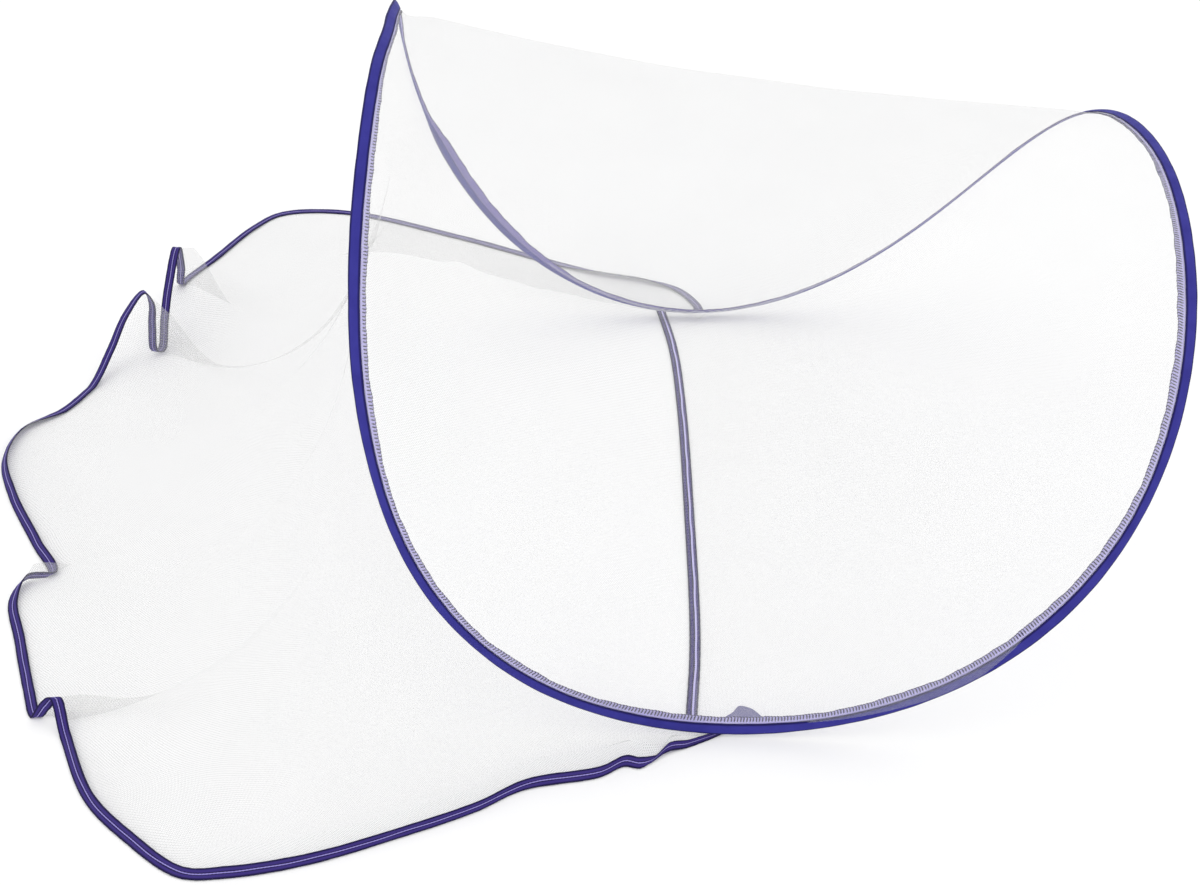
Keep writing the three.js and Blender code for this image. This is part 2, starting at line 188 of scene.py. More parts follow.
# %% How the casing lies
CASING_LIE = [
    {"place": 0.0, "turn": -20, "shift": 0},
    {"place": 0.03, "turn": -6, "shift": 0},
    {"place": 0.09, "turn": 2, "shift": 0.3},
    {"place": 0.13, "turn": 30, "shift": -0.4},
    {"place": 0.16, "turn": 22, "shift": -0.3},
    {"place": 0.2, "turn": 5, "shift": -0.1},
    {"place": 0.24, "turn": 0, "shift": -0.8},
    {"place": 0.28, "turn": -15, "shift": 1.0},
    {"place": 0.31, "turn": -14, "shift": 0.8},
    {"place": 0.35, "turn": -32, "shift": 0},
    {"place": 0.4, "turn": -46, "shift": 0},
    {"place": 0.45, "turn": -52, "shift": 0},
    {"place": 0.5, "turn": -55, "shift": 0},
    {"place": 0.54, "turn": -48, "shift": 0},
    {"place": 0.58, "turn": -18, "shift": 0},
    {"place": 0.61, "turn": -8, "shift": 0},
    {"place": 0.635, "turn": -52, "shift": 0},
    {"place": 0.67, "turn": -62, "shift": 0},
    {"place": 0.705, "turn": -50, "shift": 1.0},
    {"place": 0.725, "turn": -36, "shift": 2.2},
    {"place": 0.745, "turn": -12, "shift": 0},
    {"place": 0.77, "turn": 4, "shift": -2.3},
    {"place": 0.81, "turn": 8, "shift": -1.8},
    {"place": 0.84, "turn": 26, "shift": -1.0},
    {"place": 0.88, "turn": 38, "shift": 0.6},
    {"place": 0.92, "turn": 20, "shift": 0.3},
    {"place": 0.955, "turn": 0, "shift": -0.7},
    {"place": 0.98, "turn": -13, "shift": -0.4},
]


def casing_lie(place, column):
    """A column of the table at places round the hoop, eased between its rows."""
    rows = CASING_LIE + [{**CASING_LIE[0], "place": 1.0}]
    at = np.interp(np.mod(place, 1.0), [row["place"] for row in rows], range(len(rows)))
    row = np.minimum(at.astype(int), len(rows) - 2)
    values = np.array([row[column] for row in rows], float)
    ease = (1 - np.cos(math.pi * (at - row))) / 2
    return values[row] + (values[row + 1] - values[row]) * ease


def casing_frame(place):
    """The casing's middle, the way across it towards its seam, and the way out of its face."""
    along, inward, off = hoop_frame(place)
    turn = np.radians(casing_lie(place, "turn"))[..., None]
    middle = hoop_point(place) + inward * (casing_lie(place, "shift") * MM)[..., None]
    seamward = inward * np.cos(turn) + off * np.sin(turn)
    face = off * np.cos(turn) - inward * np.sin(turn)
    return middle, seamward, face


def beside_casing(place, across, rise):
    """Points so far across the casing, towards its seam, and so far out from its face."""
    place = np.asarray(place, float)
    middle, seamward, face = casing_frame(place)
    across = np.broadcast_to(across, place.shape)[..., None]
    rise = np.broadcast_to(rise, place.shape)[..., None]
    return middle + seamward * across + face * rise


CASING_HALF = 4.8 * MM
SEWN = CASING_HALF - 0.9 * MM  # the nets are sewn in this far from the casing's middle
SEAM_BEND = 15 * MM  # the reach over which a net bends from the seam's lie to its own


def seam_bend(place, reach):
    """What the stiff seam adds to a net's own line at a distance in from the casing."""
    _, inward, _ = hoop_frame(place)
    _, seamward, _ = casing_frame(place)
    lift = reach * np.exp(-((reach / SEAM_BEND) ** 2))
    return (seamward - inward) * lift[..., None]


def inside_seam(place, reach, rise):
    """Points so far in from the casing's seam, and so far off the net's outer face."""
    place = np.asarray(place, float)
    reach = np.broadcast_to(np.asarray(reach, float), place.shape)
    rise = np.broadcast_to(np.asarray(rise, float), place.shape)
    _, inward, _ = hoop_frame(place)
    _, _, face = casing_frame(place)
    line = beside_casing(place, SEWN, 0.0) + inward * reach[..., None] + seam_bend(place, reach)
    return line + face * rise[..., None]


def uneven(distance, pitch, phase=0.0):
    """A smooth, uneven wave from about -1 to 1, from three sines whose pitches don't match."""
    turn = 2 * math.pi * np.asarray(distance) / pitch
    wave = np.sin(turn + phase) + 0.6 * np.sin(1.61 * turn + 2.3 * phase + 1.0)
    return (wave + 0.5 * np.sin(0.57 * turn + 4.1 * phase + 2.0)) / 2.1


# %% [markdown]
# ## Making cloth
#
# Each sheet and tape starts as Blender's own grid, with enough rows and columns, and its vertices
# are then laid on the shape that the cloth takes. A grid stays open as a sheet, or is rolled up
# and merged into a tape. The UV map is written in metres along the cloth, so that a weave has its
# real size everywhere, however the cloth bends.


# %% Primitives laid on a shape
DOUBLED = 1e-6  # vertices closer than this, in metres, are one vertex


def select_only(piece):
    """Leaves edit mode and makes this piece the only one that an operator acts on."""
    if bpy.context.object and bpy.context.object.mode != "OBJECT":
        bpy.ops.object.mode_set(mode="OBJECT")
    bpy.ops.object.select_all(action="DESELECT")
    piece.select_set(True)
    bpy.context.view_layer.objects.active = piece


def grid(name, points, uvs):
    """A sheet from rows of points. Each point's place in metres along the cloth is its UV."""
    rows, columns = points.shape[:2]
    bpy.ops.mesh.primitive_grid_add(x_subdivisions=columns - 1, y_subdivisions=rows - 1)
    piece = bpy.context.object
    piece.name = piece.data.name = name
    mesh = piece.data
    mesh.vertices.foreach_set("co", np.ascontiguousarray(points, np.float32).ravel())
    corners = np.zeros(len(mesh.loops), int)
    mesh.loops.foreach_get("vertex_index", corners)
    flat = [np.broadcast_to(part, (rows, columns)).ravel()[corners] for part in uvs]
    layer = mesh.uv_layers[0] if mesh.uv_layers else mesh.uv_layers.new(name="UVMap")
    layer.data.foreach_set("uv", np.stack(flat, 1).astype(np.float32).ravel())
    mesh.update()
    select_only(piece)
    bpy.ops.object.shade_smooth()
    return piece


def tidy_solid(piece):
    """Merges doubled vertices, closes open ends and turns all faces outwards."""
    select_only(piece)
    bpy.ops.object.mode_set(mode="EDIT")
    bpy.ops.mesh.select_all(action="SELECT")
    bpy.ops.mesh.remove_doubles(threshold=DOUBLED)
    bpy.ops.mesh.fill_holes(sides=0)
    bpy.ops.mesh.select_all(action="SELECT")
    bpy.ops.mesh.normals_make_consistent(inside=False)
    bpy.ops.object.mode_set(mode="OBJECT")
    return piece


def band(name, points, length, across):
    """A band that closes on itself, from rows of section points. Across is their UV."""
    rows = np.concatenate([points, points[:1]])
    loops = np.concatenate([rows, rows[:, :1]], 1)
    along = np.linspace(0, length, len(rows))[:, None]
    return tidy_solid(grid(name, loops, (along, np.append(across, across[0]))))


def ribbon(name, middle, widthway, section, length):
    """A tape along a line, with flat ends. The section is rows of (across, height)."""
    along = unit(np.gradient(middle, axis=0))
    height = unit(np.cross(along, widthway))
    loop = np.append(section, section[:, :1], axis=1)
    points = (
        middle[:, None]
        + widthway[:, None] * loop[..., 0:1]
        + height[:, None] * loop[..., 1:2]
    )
    return tidy_solid(grid(name, points, (length[:, None], loop[..., 0])))


def scattered(name, bead, centres, frames):
    """Copies of one small mesh, joined: each gets its own centre and its own three axes."""
    base = np.array([vertex.co for vertex in bead.data.vertices])
    faces = [np.array(face.vertices) for face in bead.data.polygons]
    points = (centres[:, None] + np.einsum("vk,nkc->nvc", base, frames)).reshape(-1, 3)
    starts = np.arange(len(centres)) * len(base)
    mesh = bpy.data.meshes.new(name)
    copies = [(face + start).tolist() for start in starts for face in faces]
    mesh.from_pydata(points.tolist(), [], copies)
    bpy.data.objects.remove(bead)
    piece = bpy.data.objects.new(name, mesh)
    bpy.context.scene.collection.objects.link(piece)
    select_only(piece)
    bpy.ops.object.shade_smooth()
    return piece


def thread_bead(width):
    """One stitch: a ball of few faces, so wide and thick, with length 1 for its axis to scale."""
    bpy.ops.mesh.primitive_uv_sphere_add(segments=6, ring_count=4, radius=0.5)
    bead = bpy.context.object
    bead.data.transform(Matrix.Diagonal((width, width, 1.0, 1.0)))
    return bead


# %% [markdown]
# ## Materials
#
# Cloth is a pattern of threads, so each finish is drawn by nodes from the UV map, in metres. The
# netting is the one that matters most: its threads are white, and between them there is nothing,
# so the same pattern that tints the threads also drives the alpha.


# %% Node helpers
class Finish:
    """A material under construction: its node tree, its shader and short ways to add nodes."""

    def __init__(self, name, **sockets):
        self.material = bpy.data.materials.new(name)
        self.material.use_nodes = True
        self.tree = self.material.node_tree
        self.shader = self.tree.nodes["Principled BSDF"]
        for socket, value in sockets.items():
            self.shader.inputs[socket.replace("_", " ")].default_value = value

    def node(self, kind, settings=None, **inputs):
        """Adds a node. An input is a value or another node's output."""
        made = self.tree.nodes.new("ShaderNode" + kind)
        for name, value in (settings or {}).items():
            setattr(made, name, value)
        for name, value in inputs.items():
            socket = made.inputs[int(name[1:]) if name[0] == "_" else name.replace("_", " ")]
            if isinstance(value, bpy.types.NodeSocket):
                self.tree.links.new(value, socket)
            else:
                socket.default_value = value
        return made

    def math(self, operation, first, second=0.0):
        """One sum on values or value outputs."""
        return self.node("Math", {"operation": operation}, _0=first, _1=second).outputs[0]

    def remap(self, value, low, high, start, end):
        """A value that runs from start to end while another runs from low to high."""
        return self.node(
            "MapRange",
            Value=value,
            From_Min=low,
            From_Max=high,
            To_Min=start,
            To_Max=end,
        ).outputs[0]

    def blend(self, share, first, second):
        """A colour between two colours or colour outputs."""
        mixed = self.node("Mix", {"data_type": "RGBA"}, _0=share, _6=first, _7=second)
        return mixed.outputs[2]

    def along(self):
        """The UV map's two directions, in metres: along the cloth, and across it."""
        parts = self.node("SeparateXYZ", Vector=self.node("UVMap").outputs[0])
        return parts.outputs[0], parts.outputs[1]

    def clouds(self, scale, detail=2.0):
        """Soft noise over the piece, from 0 to 1. The scale is in metres."""
        place = self.node("TexCoord").outputs["Object"]
        return self.node("TexNoise", Vector=place, Scale=1 / scale, Detail=detail).outputs[0]

    def wear(self, socket, output):
        """Gives the shader's socket an output."""
        self.tree.links.new(output, self.shader.inputs[socket])

    def relief(self, height, depth, strength):
        """Small relief that is too fine to model: threads and ribs."""
        bump = self.node("Bump", Height=height, Distance=depth, Strength=strength)
        self.wear("Normal", bump.outputs[0])


def dress(piece, finish):
    """Gives a piece its material and its place on the one body."""
    piece.data.materials.clear()
    piece.data.materials.append(finish.material)
    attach(piece, "root")
    return piece


# %% [markdown]
# Mosquito netting is knitted with small, roughly hexagonal holes. A brick pattern has the same
# layout, each hole meeting six others, and its mortar stands for the threads.

# %% Netting
MESH_HOLE = 1.3 * MM
THREAD_SHARE = 0.075  # half a thread's width, as a share of the hole's pitch
ROW_SHARE = 0.9  # the rows of holes are a little closer than the holes of one row


def netting_finish(name, thread_alpha, gap_alpha, dark, light, slack=None):
    """Netting with so much alpha on its threads and in its gaps, and two shades of white.

    Slack is where across the sheet the net is less stretched: from, to, and how much denser.
    """
    finish = Finish(name, Roughness=0.8)
    finish.shader.inputs["Specular IOR Level"].default_value = 0.15
    threads = finish.node(
        "TexBrick",
        {"offset": 0.5, "offset_frequency": 2},
        Vector=finish.node("UVMap").outputs[0],
        Scale=1 / MESH_HOLE,
        Mortar_Size=THREAD_SHARE,
        Mortar_Smooth=0.3,
        Brick_Width=1.0,
        Row_Height=ROW_SHARE,
    ).outputs["Fac"]
    clouds = finish.clouds(60 * MM, 0.0)
    shades = [(white, white, white, 1) for white in (dark, light)]
    finish.wear("Base Color", finish.blend(clouds, *shades))
    alpha = finish.remap(threads, 0.0, 1.0, gap_alpha, thread_alpha)
    if slack:
        start, end, share = slack
        closer = finish.remap(finish.along()[1], start, end, 1.0, share)
        alpha = finish.math("MULTIPLY", alpha, closer)
    finish.wear("Alpha", alpha)
    finish.relief(threads, 0.1 * MM, 0.4)
    return finish


# %% [markdown]
# The casing and the tapes are woven ribbon: fine ribs across, and painted shade along each long
# edge, where the rounded section turns from the light. The hem tape also has a lighter stripe to
# each side of its line of stitches.

# %% Woven tapes
RIB = 0.55 * MM
EDGE_SHADE_FADE = 0.15  # the share of the half width over which the painted edge shade deepens


def woven_finish(name, middle, edge, half_width, edge_share, stripes=None, **sockets):
    """Woven ribbon, with painted shade from a share of its half width on, towards its edges.

    Stripes are a pair of lines: how far off the middle, half their width, and their colour.
    """
    finish = Finish(name, **sockets)
    along, across = finish.along()
    reach = finish.math("ABSOLUTE", across)
    # Painted shade: the ribbon darkens towards its two long edges, where its rounded section turns
    # from the light.
    shade_span = [share * half_width for share in (edge_share, edge_share + EDGE_SHADE_FADE)]
    sides = finish.remap(reach, *shade_span, 0.0, 1.0)
    ribs = finish.math("PINGPONG", finish.math("DIVIDE", along, RIB), 0.5)
    picks = finish.math("PINGPONG", finish.math("DIVIDE", across, RIB), 0.5)
    weave = finish.math("MULTIPLY", ribs, picks)
    clouds = finish.clouds(18 * MM, 3.0)
    colour = finish.blend(finish.remap(clouds, 0.35, 0.65, 0.0, 0.22), middle, edge)
    if stripes:
        offset, half, stripe_colour = stripes
        near = finish.math("ABSOLUTE", finish.math("SUBTRACT", reach, offset))
        stripe = finish.remap(near, half, 0.5 * half, 0.0, 0.85)
        colour = finish.blend(stripe, colour, stripe_colour)
    colour = finish.blend(sides, colour, edge)
    dark = tuple(0.6 * channel for channel in edge[:3]) + (1,)
    colour = finish.blend(finish.remap(weave, 0.0, 0.12, 0.5, 0.0), colour, dark)
    finish.wear("Base Color", colour)
    finish.wear("Roughness", finish.remap(clouds, 0.3, 0.7, 0.68, 0.84))
    finish.shader.inputs["Specular IOR Level"].default_value = 0.2
    finish.relief(weave, 0.35 * MM, 0.7)
    return finish


TAPE_HALF = 4.8 * MM
# The edge colours below are painted shade for the rounded long edges of the casing and the hem
# tape.
ROYAL = (0.046, 0.043, 0.36, 1)
ROYAL_EDGE_SHADE = (0.012, 0.009, 0.11, 1)
NAVY = (0.013, 0.007, 0.075, 1)
NAVY_EDGE_SHADE = (0.008, 0.004, 0.05, 1)
INDIGO = (0.062, 0.038, 0.27, 1)
INDIGO_STRIPES = (2.2 * MM, 1.4 * MM, INDIGO)
ROOF_SLACK = (200 * MM, 500 * MM, 1.7)  # the roof's left end hangs looser than the rest

# The same white netting gets a different white on each piece: the skirt's greyer threads are
# painted shade, and the end net's whiter threads are painted light.
roof_cloth = netting_finish("roof_netting", 0.5, 0.035, 0.76, 0.84, ROOF_SLACK)
end_cloth = netting_finish("end_netting", 0.27, 0.018, 0.8, 0.88)
skirt_cloth = netting_finish("skirt_netting", 0.56, 0.042, 0.6, 0.7)
casing_cloth = woven_finish(
    "casing_cloth", ROYAL, ROYAL_EDGE_SHADE, CASING_HALF, 0.6, Sheen_Weight=0.06, Sheen_Roughness=0.4
)
hem_cloth = woven_finish(
    "hem_cloth", NAVY, NAVY_EDGE_SHADE, TAPE_HALF, 0.78, INDIGO_STRIPES, Sheen_Weight=0.04
)


def plain_thread(name, colour, shade):
    """Sewing thread: a twist of fine fibres, seen as slanted light and dark bands."""
    finish = Finish(name, Roughness=0.6, Sheen_Weight=0.05)
    fibres = finish.clouds(0.5 * MM, 1.0)
    finish.wear("Base Color", finish.blend(fibres, colour, shade))
    finish.relief(fibres, 0.1 * MM, 0.4)
    return finish


PERIWINKLE = (0.34, 0.29, 0.72, 1)
PERIWINKLE_SHADE = (0.24, 0.2, 0.55, 1)
LILAC = (0.62, 0.58, 0.92, 1)
LILAC_SHADE = (0.5, 0.45, 0.85, 1)
INK = (0.012, 0.008, 0.04, 1)
INK_LIGHT = (0.03, 0.022, 0.09, 1)
# The lining's edge colour is painted shade for its long edges.
LINING = (0.2, 0.19, 0.4, 1)
LINING_EDGE_SHADE = (0.13, 0.12, 0.3, 1)
LINING_HALF = 14 * MM

tape_lining = woven_finish("tape_lining", LINING, LINING_EDGE_SHADE, LINING_HALF, 0.8)
hem_thread = plain_thread("hem_thread", PERIWINKLE, PERIWINKLE_SHADE)
strip_thread = plain_thread("strip_thread", LILAC, LILAC_SHADE)
overlock_thread = plain_thread("overlock_thread", INK, INK_LIGHT)

# %% Seam cloth
SEAM_NEAR = 0.3 * MM
SEAM_PALE = 2.6 * MM  # the plain stretch between the casing and the overlock
SEAM_FAR = 7.6 * MM
SEAM_RIB = 0.8 * MM
MIST = (0.50, 0.46, 0.88, 1)
MIST_LIGHT = (0.62, 0.58, 0.93, 1)
MIST_INNER = (0.52, 0.48, 0.83, 1)
MIST_BACK = (0.17, 0.14, 0.4, 1)
BACK_BEGINS = (0.27, 0.33)  # places round the hoop between which the back's darker cloth begins
BACK_ENDS = (0.66, 0.74)


def seam_finish():
    """The seam allowance: pale beside the casing, and darker at the back of the hoop."""
    finish = Finish("seam_cloth", Roughness=0.85)
    along, across = finish.along()
    ribs = finish.math("PINGPONG", finish.math("DIVIDE", along, SEAM_RIB), 0.5)
    pale = finish.blend(finish.clouds(9 * MM, 3.0), MIST, MIST_LIGHT)
    inner = finish.remap(across, SEAM_PALE, SEAM_PALE + SEAM_RIB, 0.0, 1.0)
    colour = finish.blend(inner, pale, MIST_INNER)
    begun = finish.remap(along, *(place * HOOP_LENGTH for place in BACK_BEGINS), 0.0, 1.0)
    ended = finish.remap(along, *(place * HOOP_LENGTH for place in BACK_ENDS), 1.0, 0.0)
    colour = finish.blend(finish.math("MULTIPLY", begun, ended), colour, MIST_BACK)
    finish.wear("Base Color", finish.blend(finish.remap(ribs, 0.0, 0.2, 0.2, 0.0), colour, ROYAL))
    finish.relief(ribs, 0.2 * MM, 0.5)
    return finish


seam_cloth = seam_finish()

# %% [markdown]
# ## The hoop's casing
#
# The casing is a strip of cloth folded round the wire and sewn shut along its inner edge. Its
# section is a long drop: full where the wire lies, near the outer edge, and thin at the seam.
# That section is carried round the hoop, and its thin edge gets the small puckers of a seam.

# %% Casing
CASING_STATIONS = 900
CASING_SIDES = 16
CASING_FULL = 1.15 * MM
CASING_TAPER = 0.6 * MM
CASING_PUCKER = 0.07  # how much the sewn edge swells and thins, as a share of its thickness
CASING_SWELL = 0.03  # how much the width varies, as a share of it

station = np.arange(CASING_STATIONS) / CASING_STATIONS
length = station * HOOP_LENGTH
angle = 2 * math.pi * np.arange(CASING_SIDES) / CASING_SIDES
inward = CASING_HALF * np.cos(angle)
height = (CASING_FULL - CASING_TAPER * np.cos(angle)) * np.sin(angle)
pucker = 1 + CASING_PUCKER * uneven(length, 11 * MM)[:, None] * (1 + np.cos(angle))
points = beside_casing(
    np.repeat(station[:, None], CASING_SIDES, 1),
    inward * (1 + CASING_SWELL * uneven(length, 37 * MM, 1.0)[:, None]),
    height * pucker,
)
casing = dress(band("casing", points, HOOP_LENGTH, inward), casing_cloth)
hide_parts("hoop_casing")
print("casing:", len(casing.data.polygons), "faces")

# %% [markdown]
# ## The overlocked seam
#
# Inside the casing, the cut edges of the casing and the nets are bound together by an overlock
# stitch. The allowance is a narrow strip, a little wavy on its free edge, that lies under the
# roof net. Its threads cross it at a slant every few millimetres and loop round the free edge.

# %% Seam allowance
SEAM_DROP = 0.75 * MM
SEAM_THICK = 0.5 * MM
SEAM_STATIONS = 1300
SEAM_FLUTTER = 0.25 * MM

# How far in from the casing the free edge lies, in millimetres, at places round the hoop.
SEAM_WIDTH = [
    {"place": 0.0, "far": 7.6},
    {"place": 0.2, "far": 7.4},
    {"place": 0.25, "far": 5.8},
    {"place": 0.3, "far": 4.6},
    {"place": 0.5, "far": 5.0},
    {"place": 0.56, "far": 8.0},
    {"place": 0.61, "far": 8.4},
    {"place": 0.64, "far": 5.4},
    {"place": 0.74, "far": 3.0},
    {"place": 0.77, "far": 3.4},
    {"place": 0.8, "far": 5.4},
    {"place": 0.88, "far": 5.8},
    {"place": 0.95, "far": 7.2},
]


def seam_edge(length):
    """How far in from the casing the free edge of the seam allowance lies."""
    rows = SEAM_WIDTH + [{**SEAM_WIDTH[0], "place": 1.0}]
    places, widths = ([row[column] for row in rows] for column in ("place", "far"))
    far = np.interp(length / HOOP_LENGTH, places, widths)
    waves = 0.9 * uneven(length, 120 * MM, 0.5) + 0.7 * uneven(length, 34 * MM, 2.0)
    return far * (1 + 0.12 * waves) * MM + SEAM_FLUTTER * uneven(length, 9 * MM)


station = np.arange(SEAM_STATIONS) / SEAM_STATIONS
length = station * HOOP_LENGTH
corner = np.array([[0, 0], [0.35, 0], [0.7, 0], [1, 0], [1, 1], [0.7, 1], [0.35, 1], [0, 1]])
reach = SEAM_NEAR + (seam_edge(length)[:, None] - SEAM_NEAR) * corner[:, 0]
flutter = SEAM_FLUTTER * uneven(length, 8 * MM, 2.0)[:, None] * corner[:, 0]
drop = SEAM_DROP + SEAM_THICK * (0.5 - corner[:, 1]) + flutter
points = inside_seam(np.repeat(station[:, None], len(corner), 1), reach, -drop)
across = SEAM_NEAR + (SEAM_FAR - SEAM_NEAR) * corner[:, 0]
seam = dress(band("seam_allowance", points, HOOP_LENGTH, across), seam_cloth)
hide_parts("hoop_seam")

# %% Overlock stitches
STITCH_PITCH = 2.7 * MM
STITCH_COUNT = int(HOOP_LENGTH / STITCH_PITCH)
STITCH_RISE = SEAM_THICK / 2 - SEAM_DROP
STITCH_JITTER = 0.12  # how far a thread strays, as a share of the pitch
STITCH_SLANT = 0.3  # how far a thread leans on its way across, as a share of the pitch
BAR_WIDE = 1.35
BAR_LONG = 1.1  # a thread's length, as a share of the way that it crosses
BAR_START = 0.55  # a thread starts no further out than this share of a narrow seam
LOOP_WIDE = 0.8
LOOP_LONG = 0.95 * STITCH_PITCH


def bars():
    """Centres and axes of the threads that cross the seam allowance at one slant."""
    place = (np.arange(STITCH_COUNT) + 0.5) / STITCH_COUNT
    jitter = STITCH_JITTER * uneven(place * HOOP_LENGTH, 7 * MM, 1.0) / STITCH_COUNT
    end = seam_edge(place * HOOP_LENGTH)
    near = inside_seam(place + jitter, np.minimum(SEAM_PALE, BAR_START * end), STITCH_RISE)
    far = inside_seam(place + STITCH_SLANT / STITCH_COUNT, end, STITCH_RISE)
    _, _, face = casing_frame(place)
    run = far - near
    side = unit(np.cross(face, run))
    axes = [side * BAR_WIDE, unit(np.cross(run, side)), run * BAR_LONG]
    return (near + far) / 2, np.stack(axes, 1)


def edge_loops():
    """Centres and axes of the looped threads along the free edge."""
    place = (np.arange(STITCH_COUNT) + 0.5) / STITCH_COUNT
    along, inward, off = hoop_frame(place)
    centre = inside_seam(place, seam_edge(place * HOOP_LENGTH), STITCH_RISE - SEAM_THICK / 4)
    return centre, np.stack([inward * LOOP_WIDE, off, along * LOOP_LONG], 1)


sets = [bars(), edge_loops()]
overlock = scattered(
    "overlock_stitches",
    thread_bead(1.0 * MM),
    np.concatenate([centres for centres, _ in sets]),
    np.concatenate([axes for _, axes in sets]),
)
dress(overlock, overlock_thread)
print("overlock:", len(sets[0][0]), "stitches,", len(overlock.data.polygons), "faces")

# %% [markdown]
# ## The roof net
#
# The roof is ruled: at each share of the two halves of the hoop, a chord of netting runs from
# the right half to the left one and sags a little. Near the hoop the net is gathered by its
# seam, so short puckers run in from the edge and die out. Along one stretch at the front the
# casing has rolled over, and there the net laps across it before it reaches its seam.

# %% Roof net
ROOF_ROWS = 300
ROOF_COLUMNS = 84
WRAP_FAR = -2.4 * MM  # where the net laps over the casing, it reaches this far across it
WRAP_LIFT = 1.9 * MM
WRAP_PLACES = [0.018, 0.056, 0.07, 0.084]  # it starts, is full, wanes and ends at these places
ROOF_GATHER = 0.35 * MM
GATHER_REACH = 24 * MM
GATHER_START = 6 * MM
ROOF_RIPPLE = 0.8 * MM


def wrapped(place):
    """How far the net has lapped over the casing at a place: 0 not at all, 1 fully."""
    return np.interp(place, WRAP_PLACES, [0, 1, 1, 0])


def net_edge(place):
    """The roof net's edge at places round the hoop."""
    share = wrapped(place)
    return beside_casing(place, SEWN + (WRAP_FAR - SEWN) * share, WRAP_LIFT * np.sqrt(share))


share = np.linspace(0, 1, ROOF_ROWS)
places = np.stack([on_right(share), on_left(share)])
right, left = (net_edge(place)[:, None] for place in places)
step = (1 - np.cos(math.pi * np.linspace(0, 1, ROOF_COLUMNS))) / 2
chord = np.linalg.norm(right - left, axis=-1)
drop = 4 * step * (1 - step) * (1 + ROOF_SKEW * (2 * step - 1)) * roof_sag(chord)
points = right + (left - right) * step[:, None] - UP * drop[..., None]
for place, distance in ((places[0], step * chord), (places[1], (1 - step) * chord)):
    points = points + seam_bend(np.broadcast_to(place[:, None], distance.shape), distance)
row_length = np.cumsum(np.append(0, np.linalg.norm(np.diff(points.mean(1), axis=0), axis=1)))
edge_distance = np.minimum(step, 1 - step) * chord
gather = ROOF_GATHER * np.exp(-edge_distance / GATHER_REACH)
gather *= np.minimum(edge_distance / GATHER_START, 1)
normal = unit(np.cross(np.gradient(points, axis=0), np.gradient(points, axis=1)) + 1e-9 * UP)
hoop_run = share[:, None] * HOOP_LENGTH / 2
slanted = points[..., 0] + 0.35 * points[..., 1]
swell = np.sin(math.pi * step) * np.sin(math.pi * share)[:, None]
ripple = gather * uneven(hoop_run, 17 * MM, 0.7)
ripple += ROOF_RIPPLE * uneven(slanted, 210 * MM, 1.3) * swell
points = points + normal * ripple[..., None]
uvs = (step * chord - chord / 2, row_length[:, None])
roof = dress(grid("roof_netting", points, uvs), roof_cloth)
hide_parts("roof_net")
print("roof net:", len(roof.data.polygons), "faces,", round(float(row_length[-1]), 3), "m over")

# %% [markdown]
# ## The end net and its straight hem
#
# The end net hangs from the right half of the hoop, curls in and lies on the floor up to a
# nearly straight hem between the two low points. A smooth curve of four points for each column
# gives it that shape: foot, where it lies, where it is pulled up, and the hoop.

# %% The straight hem's line
END_HEM = [
    {"right": 74, "back": -334},
    {"right": 82, "back": -225},
    {"right": 84, "back": -20},
    {"right": 83, "back": 140},
    {"right": 78, "back": 250},
    {"right": 66, "back": 336},
]


def smooth_line(corners, steps):
    """A centripetal Catmull-Rom curve through the corners, with so many steps for each."""
    corners = np.asarray(corners, float)
    ends = [2 * corners[0] - corners[1], *corners, 2 * corners[-1] - corners[-2]]
    line = []
    for a, b, c, d in zip(ends, ends[1:], ends[2:], ends[3:]):
        first, second, third = (
            max(np.linalg.norm(q - p) ** 0.5, 1e-4) for p, q in ((a, b), (b, c), (c, d))
        )
        leave = ((b - a) / first - (c - a) / (first + second) + (c - b) / second) * second
        reach = ((c - b) / second - (d - b) / (second + third) + (d - c) / third) * second
        at = np.arange(steps)[:, None] / steps
        line.append(
            b
            + leave * at
            + (3 * (c - b) - 2 * leave - reach) * at**2
            + (2 * (b - c) + leave + reach) * at**3
        )
    return np.concatenate([*line, corners[-1:]])


def bezier(points, count):
    """Rows of a cubic curve through four control points, given as arrays of columns."""
    at = np.linspace(0, 1, count)[None, :, None]
    a, b, c, d = (point[:, None] for point in points)
    return a * (1 - at) ** 3 + 3 * b * at * (1 - at) ** 2 + 3 * c * at**2 * (1 - at) + d * at**3


def run_length(points, axis):
    """The distance walked along one axis of a grid of points."""
    steps = np.linalg.norm(np.diff(points, axis=axis), axis=-1)
    zero = np.zeros_like(np.take(steps, [0], axis=axis))
    return np.cumsum(np.concatenate([zero, steps], axis=axis), axis=axis)


# %% End net
END_HEM_STEPS = 60
END_COLUMNS = 260
END_ROWS = 40
END_LIE = 0.5
END_DROP = 0.55
END_PULL = 0.12
END_LIFT = 2.4 * MM
END_LIFT_SHARE = 0.14
END_INSET = 2.0 * MM  # the net is sewn in this far from the middle of its tape
END_SWELL = 2.2 * MM
END_CREASE = 0.7 * MM
NET_ON_FLOOR = 0.8 * MM


def read_off(at, places, rows):
    """Rows of numbers, such as points, read off between those at the places."""
    return np.stack([np.interp(at, places, column) for column in rows.T], 1)


